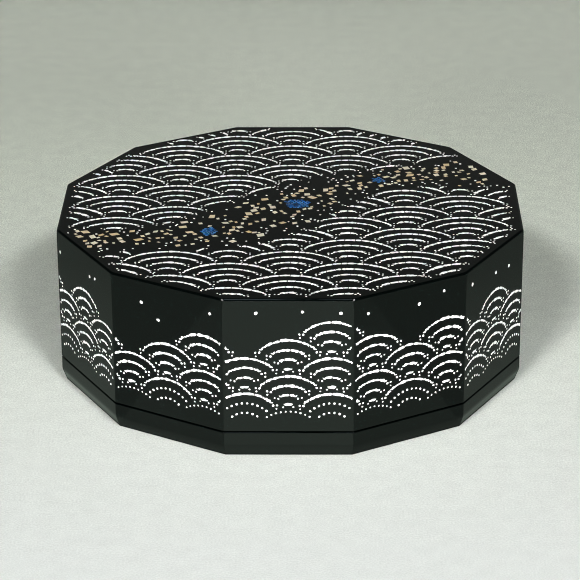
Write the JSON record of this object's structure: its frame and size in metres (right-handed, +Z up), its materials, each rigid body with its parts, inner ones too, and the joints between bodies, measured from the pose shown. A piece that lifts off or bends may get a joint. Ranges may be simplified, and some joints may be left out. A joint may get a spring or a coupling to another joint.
{
  "type": "lacquer box with lid",
  "caption": "Dodecagonal black lacquer box with a deep flush lid over upright inner walls, a tapered foot, and shell and gold inlay; hollow and empty.",
  "frame": {"origin": "middle of the flat underside, on the surface that the box stands on", "axes": "+Z up through the middle of the lid; -Y towards the viewer, square to one of the twelve sides"},
  "size_m": [0.24, 0.24, 0.0858],
  "materials": {
    "lid_lacquer": "wood core under polished black lacquer, high gloss",
    "body_lacquer": "wood core under black lacquer, polished outside and softer inside",
    "white_shell": "cut white shell laid in the lacquer and polished level",
    "gold_foil": "pale cut gold foil under clear lacquer",
    "blue_shell": "cut blue shell laid in the lacquer and polished level"
  },
  "bodies": {
    "root": {"box_body": "body_lacquer", "lid": "lid_lacquer"}
  },
  "joints": []
}
